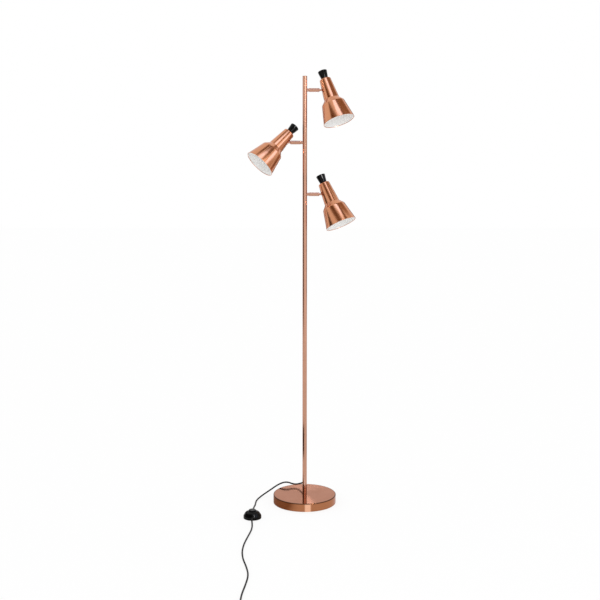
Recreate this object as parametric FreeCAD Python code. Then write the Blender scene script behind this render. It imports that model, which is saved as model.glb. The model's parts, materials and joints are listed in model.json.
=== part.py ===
import FreeCAD, Part
import math
import os

from FreeCAD import Placement, Rotation, Vector

# Floor lamp with three aimable spot heads on one pole, a weighted round base, a foot switch
# in the cord and a two-pin plug. Millimetres, +Z up. The origin is on the floor under the
# middle of the pole. The heads' arms lie along X, and the front of the lamp faces -Y.

X = Vector(1, 0, 0)
Y = Vector(0, 1, 0)
Z = Vector(0, 0, 1)
ORIGIN = Vector(0, 0, 0)

# ---- fits -------------------------------------------------------------------------------
FIT = 0.05            # radial clearance of a thread, a spigot or a running fit
SEAT = 0.1            # gap between faces that are clamped or slide on each other
CLEAR = 0.5           # room round a piece that moves
TURN_GAP = 0.2        # radial room of a flange that turns in the sleeve's bore

# ---- base -------------------------------------------------------------------------------
base_diameter = 228.0
base_height = 31.0
base_edge_radius = 2.0
shell_wall = 1.0
pad_thickness = 3.0
pad_proud = 1.0        # how far the pad stands below the shell's rim
pad_inset = 1.5        # from the shell's wall to the pad's edge
weight_plate = 12.0
weight_boss_diameter = 52.0
weight_boss_foot = 4.0     # how much wider the boss is at its foot
weight_boss_round = 1.0
weight_foot_round = 3.0
weight_edge_round = 2.0
weight_inset = 1.0
pad_edge_round = 0.8
rod_diameter = 10.0
rod_bore = 7.0
foot_nut_flats = 17.0
foot_nut_height = 6.0
foot_nut_flange = 30.0
foot_nut_flange_height = 2.0
foot_nut_room = 2.0    # between the nut and the pad

# ---- pole -------------------------------------------------------------------------------
pole_diameter = 16.0
pole_wall = 1.0
pole_section = 500.0
pole_sections = 3
insert_length = 14.0
insert_recess = 1.0    # how far each threaded insert sits back from its tube's end
coupler_length = 26.0
cap_height = 1.2
cap_spigot = 8.0
cap_round = 0.5
seam_chamfer = 0.3

# ---- arms -------------------------------------------------------------------------------
top_arm_drop = 47.0    # from the pole's top to the highest arm
arm_spacing = 180.0
arm_reach = 65.0       # from the pole's axis to the head's pivot
sleeve_start = 15.0
stem_reach = 14.25     # from the sleeve's end to the head's pivot
sleeve_diameter = 13.0
sleeve_bore = 11.0
sleeve_end_wall = 6.0
sleeve_edge = 0.8      # round at the collar; the wall is hardly thicker
sleeve_end_round = 2.0
collar_diameter = 11.2
spigot_length = 12.0   # threaded end inside the sleeve
nipple_diameter = 8.0
nipple_bore = 5.2
nipple_inside = 2.5    # how far the nipple reaches inside the pole's wall
saddle_nut_diameter = 11.0
stem_diameter = 7.0
stem_bore = 3.6
flange_height = 2.5
friction_ring_length = 5.0
knuckle_diameter = 13.0
knuckle_width = 9.5    # across its two flats
trunnion_diameter = 4.0
trunnion_depth = 2.5   # how far each stub pin reaches into the knuckle
trunnion_head = 6.0
trunnion_head_height = 0.8

# ---- heads ------------------------------------------------------------------------------
shade_wall = 0.8
neck_top_radius = 19.8
neck_foot_radius = 27.2
neck_length = 76.0
shoulder_radius = 40.6
shoulder_depth = 92.0
mouth_radius = 55.4
shade_length = 158.5
neck_edge_round = 2.5
neck_foot_round = 3.0
shoulder_round = 11.0
mouth_hem = 1.4        # thickness and height of the turned edge at the mouth
pivot_drop = 35.8      # from the top of the neck to the pivot, along the shade's axis
pivot_inset = 16.5     # from the shade's axis to the pivot
tilt_least = -5.0      # degrees from the upright shade; the mouth leans to the pole
tilt_most = 45.0
swivel_each_way = 165.0
knob_foot_radius = 11.5
knob_top_radius = 16.4
knob_height = 33.0
knob_dome = 2.2
knob_dome_inset = 1.0
knob_foot_round = 0.6
knob_top_round = 1.2
knob_thread_depth = 15.0
stud_diameter = 10.0
stud_bore = 6.0
stud_in_knob = 13.0
stud_in_holder = 4.5
bracket_thickness = 1.8
bracket_plate_radius = 16.2
bracket_leg_gap = 0.25  # from each flat of the knuckle to the leg beside it
bracket_leg_inset = 1.5  # from the plate's rim to the leg's outer edge
bracket_leg_inner = 11.0
bracket_ear_radius = 3.4
holder_depth = 44.0    # from the top of the neck to the top of the lamp holder
holder_radius = 13.5
holder_length = 34.0
holder_cap_radius = 9.0
holder_cap_height = 4.0
holder_web = 5.0
holder_web_drop = 1.0
holder_edge_round = 0.4
holder_shoulder_round = 1.0
socket_inset = 1.0      # from the holder's mouth to the socket's edge
holder_ring_radius = 14.6
holder_ring_height = 3.0
socket_bore_radius = 7.0
socket_wall = 0.6
socket_length = 20.0
contact_radius = 2.4
contact_height = 2.5
lead_radius = 1.1
lead_from_axis = 8.2

# name, side of the pole, arm number counted down from the top, tilt and roll as photographed
HEADS = (
    ("top", 1, 0, 17.6, 18.6),
    ("left", -1, 1, 40.2, 27.0),
    ("lower", 1, 2, 22.3, 17.7),
)

# ---- cord -------------------------------------------------------------------------------
cord_diameter = 5.5
harness_diameter = 4.0
cord_exit_height = 33.0   # above the top of the base
grommet_hole = 9.2
grommet_flange = 12.0
grommet_flange_height = 2.4
grommet_inside = 1.0      # how far the bush reaches inside the pole's wall
grommet_outside = 2.0     # how far its round body reaches under the flange
relief_length = 20.0
relief_foot_radius = 4.2
relief_tip_radius = 3.2
relief_flange_radius = 5.4
relief_flange_height = 1.2
relief_rings = 4
relief_groove = 0.6
switch_x = -184.0
switch_y = -172.0
switch_entry_height = 9.5

# ---- foot switch ------------------------------------------------------------------------
switch_diameter = 63.0
switch_height = 26.0
switch_wall = 1.8
switch_skirt = 10.0       # height of the upright part of the cover
switch_shoulder_radius = 24.5
switch_shoulder_height = 21.5
switch_crown_radius = 15.8
switch_skirt_round = 6.0
switch_shoulder_round = 8.0
switch_crown_round = 1.0
switch_rim_round = 0.8
switch_lift = 0.5         # from the floor to the cover's rim
switch_plate_height = 3.0
switch_plate_round = 0.5
button_radius = 12.8
button_gap = 0.4
button_proud = 4.6
button_travel = 3.5
button_flange = 1.6
button_flange_height = 1.6
button_dish = 0.8
button_dish_radius = 7.7
button_round = 2.0
hole_round = 0.6
spring_wire = 1.0
spring_radius = 7.0
spring_turns = 4
post_radius = 5.0

# ---- plug and coil ----------------------------------------------------------------------
plug_length = 30.0
plug_width = 35.0
plug_thickness = 14.0
plug_neck_width = 12.0
plug_shoulder = 16.5      # from its back end to where it reaches its full width
plug_shoulder_round = 6.0
plug_corner_round = 2.0
plug_edge = 3.0
plug_overlap = 1.0        # how far the relief runs into the body
plug_relief = 24.0
plug_relief_radius = 4.4
pin_radius = 2.0
pin_root_radius = 1.5
pin_tip_round = 1.2
pin_length = 19.0
pin_spacing = 19.0
pin_in_plug = 6.0
tie_thickness = 1.0
tie_width = 8.0
tie_round = 2.0
coil_y = -930.0
coil_first_radius = 33.0
coil_gap = 0.5            # between neighbouring turns
layer_gap = 0.75          # between the two layers
tail_flat = 12.0          # straight run after the coil
tail_end = 34.0           # where the tail has come down to the plug's axis

# ---- places worked out from the sizes above ---------------------------------------------
pole_foot = base_height
pole_top = pole_foot + pole_section * pole_sections
cord_exit = Vector(0, pole_diameter / 2 + relief_length, pole_foot + cord_exit_height)
cord_radius = cord_diameter / 2
sleeve_end = arm_reach - stem_reach
foot_nut_top = pad_thickness + foot_nut_room + foot_nut_height + foot_nut_flange_height
flange_end = sleeve_end - sleeve_end_wall - friction_ring_length - 2 * SEAT
flange_start = flange_end - flange_height
on_floor = cord_radius
stem_radius = stem_diameter / 2
neck_taper = (neck_foot_radius - neck_top_radius) / neck_length
neck_radius_at_pivot = neck_top_radius + neck_taper * pivot_drop
wall_from_pivot = neck_radius_at_pivot - pivot_inset
coil_floor = on_floor + tie_thickness + SEAT
coil_upper = coil_floor + cord_diameter + layer_gap
turn_step = (cord_diameter + coil_gap) / 2
plug_axis_height = plug_thickness / 2
switch_centre = Vector(switch_x, switch_y, 0)
switch_inner = switch_diameter / 2 - switch_wall
switch_slope = (switch_diameter / 2 - switch_shoulder_radius) / (switch_shoulder_height - switch_skirt)
switch_inner_skirt = switch_skirt - switch_wall * math.tan(math.atan(switch_slope) / 2)
relief_top = switch_entry_height + relief_flange_radius
relief_seat = switch_inner - switch_slope * max(relief_top - switch_inner_skirt, 0) - 2 * SEAT
relief_end = switch_diameter / 2 + relief_length
button_top = switch_height + button_proud
button_low = switch_height - switch_wall - SEAT - button_flange_height


def arm_height(number):
    """Height of an arm's axis, counted down from the highest."""
    return pole_top - top_arm_drop - arm_spacing * number


def cylinder(radius, length, start=ORIGIN, axis=Z):
    return Part.makeCylinder(radius, length, start, axis)


def tube(outer, inner, length, start=ORIGIN, axis=Z):
    return cylinder(outer, length, start, axis).cut(cylinder(inner, length, start, axis))


def rounded_edges(points, radii, closed=False):
    """Straight runs joined by tangent arcs: each corner is cut back by radius times the
    tangent of half its turn, and an arc through the middle of the corner joins the ends."""
    count = len(points)
    ends = []
    for i, corner in enumerate(points):
        if radii[i] <= 0 or (not closed and i in (0, count - 1)):
            ends.append((corner, None, corner))
            continue
        back = (points[i - 1] - corner).normalize()
        ahead = (points[(i + 1) % count] - corner).normalize()
        half_open = back.getAngle(ahead) / 2
        cut = radii[i] / math.tan(half_open)
        middle = (back + ahead).normalize()
        deep = radii[i] / math.sin(half_open) - radii[i]
        ends.append((corner + back * cut, corner + middle * deep, corner + ahead * cut))
    edges = []
    for i in range(count):
        arrive, through, leave = ends[i]
        if through is not None:
            edges.append(Part.Arc(arrive, through, leave).toShape())
        if i == count - 1 and not closed:
            break
        following = ends[(i + 1) % count][0]
        if (following - leave).Length > 1e-6:
            edges.append(Part.LineSegment(leave, following).toShape())
    return edges


def turned(outline):
    """A piece turned on a lathe: (radius, height, corner radius) points round Z."""
    points = [Vector(r, 0, z) for r, z, _ in outline]
    wire = Part.Wire(rounded_edges(points, [c for _, _, c in outline], closed=True))
    return Part.Face(wire).revolve(ORIGIN, Z, 360)


def swept(wire, radius):
    """A round tube carried along a wire of tangent lines and arcs."""
    edge = wire.Edges[0]
    start = edge.valueAt(edge.FirstParameter)
    along = edge.tangentAt(edge.FirstParameter)
    ring = Part.Wire(Part.Circle(start, along, radius).toShape())
    return wire.makePipeShell([ring], True, False)


def cord_radii(points, share=0.45):
    """Each arc as large as its two runs allow."""
    radii = [0.0]
    for before, corner, after in zip(points, points[1:], points[2:]):
        run_in = corner - before
        run_out = after - corner
        turn = run_in.getAngle(run_out)
        radii.append(share * min(run_in.Length, run_out.Length) / math.tan(turn / 2))
    return radii + [0.0]


def cord_tube(name, points):
    radii = cord_radii(points)
    wire = Part.Wire(rounded_edges(points, radii))
    solid = swept(wire, cord_radius)
    expected = math.pi * cord_radius ** 2 * wire.Length
    print(name, "length", round(wire.Length, 1), "volume/expected", round(solid.Volume / expected, 4),
          "radii", [round(r) for r in radii[1:-1]])
    return solid


def offset_outline(points, wall):
    """The same outline moved inwards by the wall: each corner is where the two moved
    neighbouring lines cross. The ends stay on their own radius and height."""
    def moved(a, b):
        along = (b - a).normalize()
        inward = Vector(along.z, 0, -along.x)
        return a + inward * wall, along

    lines = [moved(a, b) for a, b in zip(points, points[1:])]
    inner = [Vector(points[0].x, 0, points[0].z - wall)]
    for (p, u), (q, v) in zip(lines, lines[1:]):
        cross = u.x * v.z - u.z * v.x
        step = ((q.x - p.x) * v.z - (q.z - p.z) * v.x) / cross
        inner.append(p + u * step)
    last, along = lines[-1]
    inner.append(last + along * ((points[-1].z - last.z) / along.z))
    return inner


# ---- base -------------------------------------------------------------------------------
def base_shell():
    outer = base_diameter / 2
    hole = rod_diameter / 2 + FIT
    return turned([
        (hole, base_height, 0), (outer, base_height, base_edge_radius), (outer, pad_proud, 0),
        (outer - shell_wall, pad_proud, 0),
        (outer - shell_wall, base_height - shell_wall, base_edge_radius - shell_wall),
        (hole, base_height - shell_wall, 0),
    ])


def base_weight():
    edge = base_diameter / 2 - shell_wall - weight_inset
    boss = weight_boss_diameter / 2
    top = base_height - shell_wall
    plate_top = pad_thickness + weight_plate
    recess = foot_nut_flange / 2 + CLEAR
    hole = rod_diameter / 2 + FIT
    return turned([
        (hole, top, 0), (boss, top, weight_boss_round),
        (boss + weight_boss_foot, plate_top, weight_foot_round), (edge, plate_top, weight_edge_round),
        (edge, pad_thickness, 0), (recess, pad_thickness, 0), (recess, foot_nut_top, 0),
        (hole, foot_nut_top, 0),
    ])


def base_pad():
    radius = base_diameter / 2 - shell_wall - pad_inset
    return turned([(0, 0, 0), (radius, 0, pad_edge_round), (radius, pad_thickness, 0),
                   (0, pad_thickness, 0)])


def hexagon(flats, height, start):
    corner = flats / math.sqrt(3)
    points = [start + Vector(corner * math.cos(math.radians(60 * i)),
                             corner * math.sin(math.radians(60 * i)), 0) for i in range(7)]
    return Part.Face(Part.makePolygon(points)).extrude(Vector(0, 0, height))


def foot_nut():
    flange = cylinder(foot_nut_flange / 2, foot_nut_flange_height,
                      Vector(0, 0, foot_nut_top - foot_nut_flange_height))
    low = foot_nut_top - foot_nut_flange_height - foot_nut_height
    body = hexagon(foot_nut_flats, foot_nut_height, Vector(0, 0, low)).fuse(flange)
    bore = cylinder(rod_diameter / 2 + FIT, foot_nut_top, ORIGIN)
    return body.cut(bore).removeSplitter()


def foot_rod():
    low = foot_nut_top - foot_nut_flange_height - foot_nut_height
    high = pole_foot + insert_recess + insert_length
    return tube(rod_diameter / 2, rod_bore / 2, high - low, Vector(0, 0, low))


# ---- pole -------------------------------------------------------------------------------
def pole_tube(number):
    """One of the equal sections, with a fine chamfer at each end where two of them meet."""
    low = pole_foot + pole_section * number
    high = low + pole_section
    outer = pole_diameter / 2
    inner = outer - pole_wall
    body = turned([
        (inner, low, 0), (outer - seam_chamfer, low, 0), (outer, low + seam_chamfer, 0),
        (outer, high - seam_chamfer, 0), (outer - seam_chamfer, high, 0), (inner, high, 0),
    ])
    if number == 0:
        height = Vector(0, 0, pole_foot + cord_exit_height)
        body = body.cut(cylinder(grommet_hole / 2 + FIT, pole_diameter, height, Y))
    if number == pole_sections - 1:
        for _, side, arm, _, _ in HEADS:
            start = Vector(0, 0, arm_height(arm))
            body = body.cut(cylinder(nipple_diameter / 2 + FIT, pole_diameter, start, X * side))
    return body


def insert_places():
    """Lower ends of the threaded inserts: one at the foot and two at each joint."""
    places = [pole_foot + insert_recess]
    for joint in range(1, pole_sections):
        seam = pole_foot + pole_section * joint
        places += [seam - insert_recess - insert_length, seam + insert_recess]
    return places


def pole_inserts():
    outer = pole_diameter / 2 - pole_wall - FIT
    inner = rod_diameter / 2 + FIT
    return [tube(outer, inner, insert_length, Vector(0, 0, low)) for low in insert_places()]


def pole_couplers():
    solids = []
    for joint in range(1, pole_sections):
        seam = pole_foot + pole_section * joint
        start = Vector(0, 0, seam - coupler_length / 2)
        solids.append(tube(rod_diameter / 2, rod_bore / 2, coupler_length, start))
    return solids


def pole_cap():
    outer = pole_diameter / 2
    spigot = outer - pole_wall - FIT
    return turned([
        (0, pole_top + cap_height, 0), (outer, pole_top + cap_height, cap_round), (outer, pole_top, 0),
        (spigot, pole_top, 0), (spigot, pole_top - cap_spigot, cap_round),
        (0, pole_top - cap_spigot, 0),
    ])


def relief(start, axis, length, foot, tip):
    """Tapered strain relief with grooves across it, bored for the cord."""
    pitch = length / (2 * relief_rings + 1)
    slope = (foot - tip) / length
    outline = [(cord_radius + FIT, 0, 0), (foot, 0, 0)]
    for i in range(relief_rings):
        low = pitch * (2 * i + 1)
        outline += [(foot - slope * low, low, 0), (foot - slope * low - relief_groove, low, 0),
                    (foot - slope * (low + pitch) - relief_groove, low + pitch, 0),
                    (foot - slope * (low + pitch), low + pitch, 0)]
    outline += [(tip, length, 0), (cord_radius + FIT, length, 0)]
    body = turned(outline)
    body.Placement = Placement(start, Rotation(Z, axis))
    return body


def cord_grommet():
    """Bush in the pole's back wall: a flange outside, a lip inside and a tapered nose."""
    outer = pole_diameter / 2
    inner = outer - pole_wall
    height = Vector(0, 0, pole_foot + cord_exit_height)
    body = cylinder(grommet_hole / 2, grommet_inside + pole_wall + grommet_outside,
                    height + Y * (inner - grommet_inside), Y)
    flange = cylinder(grommet_flange / 2, outer + grommet_flange_height, height, Y)
    flange = flange.cut(cylinder(outer + FIT, pole_top, ORIGIN))
    nose = relief(height + Y * (outer + grommet_flange_height), Y,
                  relief_length - grommet_flange_height, relief_foot_radius, relief_tip_radius)
    bore = cylinder(cord_radius + FIT, outer + grommet_flange_height, height, Y)
    return body.fuse(flange).cut(bore).fuse(nose).removeSplitter()


def pole_wiring():
    """Jacketed cable up the middle of the pole, with a branch into each arm's nipple, and
    the tail that comes in through the grommet."""
    radius = harness_diameter / 2
    exit_height = pole_foot + cord_exit_height
    top = arm_height(0)
    solids = [cylinder(radius, top - exit_height, Vector(0, 0, exit_height))]
    for _, side, arm, _, _ in HEADS:
        start = Vector(0, 0, arm_height(arm))
        solids.append(cylinder(lead_radius, flange_start - CLEAR, start, X * side))
    solids.append(cylinder(radius, pole_diameter / 2, Vector(0, 0, exit_height), Y))
    return solids[0].fuse(solids[1:]).removeSplitter()


# ---- arms -------------------------------------------------------------------------------
def arm_spigot():
    """Turned collar with a thread through the pole's wall and one inside the sleeve."""
    inner_end = pole_diameter / 2 - pole_wall - nipple_inside
    collar = cylinder(collar_diameter / 2, sleeve_start, ORIGIN, X)
    collar = collar.cut(cylinder(pole_diameter / 2, pole_diameter, -Z * pole_diameter / 2))
    collar = collar.cut(Part.makeBox(pole_diameter, pole_diameter, pole_diameter,
                                     Vector(-pole_diameter, -pole_diameter / 2,
                                            -pole_diameter / 2)))
    thread = cylinder(sleeve_bore / 2 - FIT, spigot_length, X * sleeve_start, X)
    nipple = cylinder(nipple_diameter / 2, sleeve_start - inner_end, X * inner_end, X)
    bore = cylinder(nipple_bore / 2, sleeve_start + spigot_length, ORIGIN, X)
    return nipple.fuse([collar, thread]).cut(bore).removeSplitter()


def saddle_nut():
    """Round nut whose face is cut to the pole's bore."""
    bore_radius = pole_diameter / 2 - pole_wall - FIT
    inner_end = harness_diameter / 2 + CLEAR
    body = cylinder(saddle_nut_diameter / 2, pole_diameter, X * inner_end, X)
    body = body.common(cylinder(bore_radius, pole_diameter, -Z * pole_diameter / 2))
    return body.cut(cylinder(nipple_diameter / 2 + FIT, pole_diameter, ORIGIN, X))


def arm_sleeve():
    """Tube with a closed outer end, bored for the stem that turns in it."""
    outer = sleeve_diameter / 2
    inner = sleeve_bore / 2
    wall_start = sleeve_end - sleeve_end_wall
    hole = stem_radius + FIT
    body = turned([
        (inner, sleeve_start, 0), (outer, sleeve_start, sleeve_edge),
        (outer, sleeve_end, sleeve_end_round), (hole, sleeve_end, 0), (hole, wall_start, 0),
        (inner, wall_start, 0),
    ])
    body.Placement = Placement(ORIGIN, Rotation(Z, X))
    return body


# The next two are drawn with the pivot at the origin and the pole on the -X side.
def swivel_stem():
    """Hollow stem with a flange inside the sleeve and a ball knuckle with two flats."""
    start = flange_start - arm_reach
    flange = cylinder(sleeve_bore / 2 - TURN_GAP, flange_height, X * start, X)
    rod = cylinder(stem_radius, -start, X * start, X)
    ball = Part.makeSphere(knuckle_diameter / 2)
    ball = ball.common(Part.makeBox(knuckle_diameter, knuckle_width, knuckle_diameter,
                                    Vector(-knuckle_diameter / 2, -knuckle_width / 2,
                                           -knuckle_diameter / 2)))
    body = rod.fuse([flange, ball]).removeSplitter()
    body = body.cut(cylinder(stem_bore / 2, knuckle_diameter - start, X * start, X))
    for way in (1, -1):
        deep = Y * (way * (knuckle_width / 2 - trunnion_depth))
        body = body.cut(cylinder(trunnion_diameter / 2 + FIT, knuckle_width, deep, Y * way))
    return body


def friction_ring():
    start = flange_end - arm_reach + SEAT
    return tube(sleeve_bore / 2 - TURN_GAP, stem_radius + FIT, friction_ring_length, X * start, X)


def stem_leads():
    start = flange_start - arm_reach
    end = math.sqrt((knuckle_diameter / 2) ** 2 - lead_radius ** 2)
    return cylinder(lead_radius, end - start, X * start, X)


# ---- heads: drawn with the pivot at the origin, the shade's axis upright and the pole on
# the -X side. In the functions below a height is measured from the top of the neck.
def from_neck(shape):
    shape.translate(Vector(pivot_inset, 0, pivot_drop))
    return shape


def shade():
    """Spun shade: flat top, tapered neck, flared shoulder and a straight skirt. The wall is
    the outline moved inwards, with a slot in the neck that the stem swings in."""
    hole = stud_diameter / 2 + FIT
    outer = [Vector(hole, 0, 0), Vector(neck_top_radius, 0, 0),
             Vector(neck_foot_radius, 0, -neck_length),
             Vector(shoulder_radius, 0, -shoulder_depth),
             Vector(mouth_radius, 0, -shade_length)]
    inner = offset_outline(outer, shade_wall)
    rounds_out = [0, neck_edge_round, neck_foot_round, shoulder_round, 0]
    rounds_in = [0, neck_edge_round - shade_wall, neck_foot_round + shade_wall,
                 shoulder_round - shade_wall, 0]
    hem_slope = (mouth_radius - shoulder_radius) / (shade_length - shoulder_depth)
    hem_in = inner[-1].x - (mouth_hem - shade_wall)
    hem = [Vector(hem_in, 0, -shade_length),
           Vector(hem_in - hem_slope * mouth_hem, 0, -shade_length + mouth_hem),
           Vector(inner[-1].x - hem_slope * mouth_hem, 0, -shade_length + mouth_hem)]
    points = outer + hem + inner[-2::-1]
    radii = rounds_out + [0, 0, 0] + rounds_in[-2::-1]
    body = Part.Face(Part.Wire(rounded_edges(points, radii, closed=True)))
    return from_neck(body.revolve(ORIGIN, Z, 360)).cut(neck_slot())


def neck_slot():
    """Room for the knuckle and for the stem at every tilt: an upright slot with round ends."""
    inner_wall = wall_from_pivot - shade_wall
    ball = math.sqrt((knuckle_diameter / 2) ** 2 - inner_wall ** 2)
    half = max(ball, stem_radius) + CLEAR
    steep = math.radians(tilt_most)
    shallow = math.radians(-tilt_least)
    reach = wall_from_pivot + shade_wall
    top = reach * math.tan(steep) + stem_radius / math.cos(steep) + CLEAR
    bottom = -max(ball, reach * math.tan(shallow) + stem_radius) - CLEAR
    length = wall_from_pivot + shade_wall + CLEAR
    start = X * -(wall_from_pivot + CLEAR * 4)
    low = Vector(start.x, 0, bottom + half)
    high = Vector(start.x, 0, top - half)
    box = Part.makeBox(length, 2 * half, high.z - low.z, Vector(start.x, -half, low.z))
    ends = [cylinder(half, length, low, X), cylinder(half, length, high, X)]
    return box.fuse(ends).removeSplitter()


def aiming_knob():
    """Flared knob with a low dome and a blind thread that pulls the head together."""
    thread = stud_diameter / 2 + FIT
    shoulder = knob_height - knob_dome
    body = turned([
        (thread, 0, 0), (knob_foot_radius, 0, knob_foot_round),
        (knob_top_radius, shoulder, knob_top_round),
        (0, shoulder, 0), (0, knob_thread_depth, 0), (thread, knob_thread_depth, 0),
    ])
    dome_base = knob_top_radius - knob_dome_inset
    sphere = (dome_base ** 2 + knob_dome ** 2) / (2 * knob_dome)
    dome = Part.makeSphere(sphere, Vector(0, 0, knob_height - sphere))
    dome = dome.common(cylinder(dome_base, knob_dome, Vector(0, 0, shoulder)))
    return from_neck(body.fuse(dome).removeSplitter())


def head_stud():
    low = -(holder_depth + stud_in_holder)
    return from_neck(tube(stud_diameter / 2, stud_bore / 2, stud_in_knob - low, Vector(0, 0, low)))


def head_bracket():
    """Bent plate: clamped flat under the top of the neck by the stud, with two legs that
    run down beside the knuckle and end in round ears for its pins."""
    plate_top = pivot_drop - shade_wall
    plate_low = plate_top - bracket_thickness
    plate = cylinder(bracket_plate_radius, bracket_thickness, Vector(pivot_inset, 0, plate_low))
    plate = plate.cut(cylinder(stud_diameter / 2 + FIT, pivot_drop, Vector(pivot_inset, 0, 0)))
    inside = knuckle_width / 2 + bracket_leg_gap
    top_left = pivot_inset - bracket_plate_radius + bracket_leg_inset
    legs = []
    for way in (1, -1):
        outline = [Vector(top_left, 0, plate_low), Vector(bracket_leg_inner, 0, plate_low),
                   Vector(bracket_ear_radius, 0, 0), Vector(-bracket_ear_radius, 0, 0)]
        leg = Part.Face(Part.makePolygon(outline + outline[:1]))
        leg = leg.extrude(Y * bracket_thickness)
        ear = cylinder(bracket_ear_radius, bracket_thickness, ORIGIN, Y)
        leg = leg.fuse(ear).cut(cylinder(trunnion_diameter / 2, bracket_thickness, ORIGIN, Y))
        leg.translate(Y * (inside if way > 0 else -inside - bracket_thickness))
        legs.append(leg)
    return plate.fuse(legs).removeSplitter()


def hinge_pins():
    """Two headed stub pins, one through each ear and into the knuckle."""
    tip = knuckle_width / 2 - trunnion_depth + SEAT
    face = knuckle_width / 2 + bracket_leg_gap + bracket_thickness
    solids = []
    for way in (1, -1):
        pin = cylinder(trunnion_diameter / 2 - FIT / 5, face - tip, Y * (tip * way), Y * way)
        head = cylinder(trunnion_head / 2, trunnion_head_height, Y * (face * way), Y * way)
        solids.append(pin.fuse(head).removeSplitter())
    return solids


def lamp_holder():
    top = -holder_depth
    low = top - holder_length
    web_top = top - holder_cap_height - holder_web_drop
    web_low = web_top - holder_web
    bore = socket_bore_radius + socket_wall + FIT
    thread = stud_diameter / 2 + FIT
    body = turned([
        (thread, top, 0), (holder_cap_radius, top, holder_edge_round),
        (holder_radius, top - holder_cap_height, holder_shoulder_round),
        (holder_radius, low + holder_ring_height, 0),
        (holder_ring_radius, low + holder_ring_height, holder_edge_round),
        (holder_ring_radius, low, holder_edge_round),
        (bore, low, 0), (bore, web_low, 0), (0, web_low, 0), (0, web_top, 0),
        (thread, web_top, 0),
    ])
    lead_hole = cylinder(lead_radius + SEAT, top - web_low + 2 * CLEAR,
                         Vector(-lead_from_axis, 0, web_low - CLEAR))
    return from_neck(body.cut(lead_hole))


def socket_contacts():
    low = -(holder_depth + holder_length) + socket_inset
    thread = tube(socket_bore_radius + socket_wall, socket_bore_radius, socket_length,
                  Vector(0, 0, low))
    web_low = -(holder_depth + holder_cap_height + holder_web_drop + holder_web)
    tongue = cylinder(contact_radius, contact_height, Vector(0, 0, web_low - contact_height))
    return [from_neck(thread), from_neck(tongue)]


def holder_leads(tilt):
    """Twin lead from beside the knuckle's far end down into the lamp holder."""
    angle = math.radians(tilt)
    off = knuckle_diameter / 2 + lead_radius + CLEAR / 2
    start = Vector(off * math.cos(angle), 0, -off * math.sin(angle))
    drop = pivot_inset - lead_from_axis
    turn = Vector(drop, 0, -off - CLEAR)
    end = Vector(drop, 0, pivot_drop - holder_depth - holder_cap_height)
    route = Part.Wire(rounded_edges([start, turn, end], [0, lead_radius * 1.2, 0]))
    return swept(route, lead_radius)


def arm_placement(side, arm):
    """Puts a piece that is drawn along +X from the pole's axis onto its arm."""
    turn = Rotation(Z, 0 if side > 0 else 180)
    return Placement(Vector(0, 0, arm_height(arm)), turn)


def pivot_placement(side, arm, roll, tilt):
    """The pivot's place: the head leans out from the pole by tilt and forward by roll."""
    turn = Rotation(Z, 0 if side > 0 else 180)
    rolled = Rotation(X, -roll * side)
    leaned = Rotation(Y, -tilt)
    pivot = Vector(arm_reach * side, 0, arm_height(arm))
    return Placement(pivot, turn.multiply(rolled).multiply(leaned))


def placed(shape, placement):
    moved = shape.copy()
    moved.Placement = placement.multiply(moved.Placement)
    return moved


# ---- foot switch ------------------------------------------------------------------------
def switch_cover():
    """Domed cover: an upright skirt, a rounded shoulder and a flat crown round the button.
    The inside is the same outline moved in by the wall."""
    outer = switch_diameter / 2
    outline = [Vector(button_radius + button_gap, 0, switch_height),
               Vector(switch_crown_radius, 0, switch_height),
               Vector(switch_shoulder_radius, 0, switch_shoulder_height),
               Vector(outer, 0, switch_skirt), Vector(outer, 0, switch_lift)]
    inner = offset_outline(outline, switch_wall)
    rounds_out = [hole_round, switch_crown_round, switch_shoulder_round, switch_skirt_round,
                  switch_rim_round]
    rounds_in = [0, 0, switch_shoulder_round - switch_wall, switch_skirt_round - switch_wall, 0]
    points = outline + inner[::-1]
    wire = Part.Wire(rounded_edges(points, rounds_out + rounds_in[::-1], closed=True))
    body = Part.Face(wire).revolve(ORIGIN, Z, 360)
    entry = Vector(0, -outer, switch_entry_height)
    body = body.cut(cylinder(relief_foot_radius + FIT, 2 * outer, entry, Y))
    return placed(body, Placement(switch_centre, Rotation()))


def switch_plate():
    """Bottom plate with a post that carries the spring."""
    radius = switch_inner - 2 * SEAT
    plate = turned([(0, 0, 0), (radius, 0, switch_plate_round), (radius, switch_plate_height, 0),
                    (0, switch_plate_height, 0)])
    post_top = button_low - button_travel - CLEAR
    post = cylinder(post_radius, post_top - switch_plate_height, Z * switch_plate_height)
    return placed(plate.fuse(post).removeSplitter(), Placement(switch_centre, Rotation()))


def switch_button():
    """Round push button with a shallow dished top and a flange that stops it at the top."""
    flange = button_radius + button_gap + button_flange
    body = turned([
        (0, button_low, 0), (flange, button_low, 0), (flange, button_low + button_flange_height, 0),
        (button_radius, button_low + button_flange_height, 0), (button_radius, button_top, button_round),
        (button_dish_radius, button_top, button_round), (0, button_top - button_dish, 0),
    ])
    return placed(body, Placement(switch_centre, Rotation()))


def switch_spring():
    """Compression spring round the post, from the bottom plate up to the button, as rising
    half circles. It shortens when the button is pressed."""
    low = switch_plate_height + spring_wire / 2 + SEAT
    high = button_low - spring_wire / 2 - SEAT
    rise = (high - low) / (2 * spring_turns)
    edges = []
    for i in range(2 * spring_turns):
        side = 1 if i % 2 == 0 else -1
        start = Vector(spring_radius * side, 0, low + rise * i)
        end = Vector(-spring_radius * side, 0, low + rise * (i + 1))
        middle = (start + end) / 2 + Y * (side * (end - start).Length / 2)
        edges.append(Part.Arc(start, middle, end).toShape())
    body = swept(Part.Wire(edges), spring_wire / 2)
    return placed(body, Placement(switch_centre, Rotation()))


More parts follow.
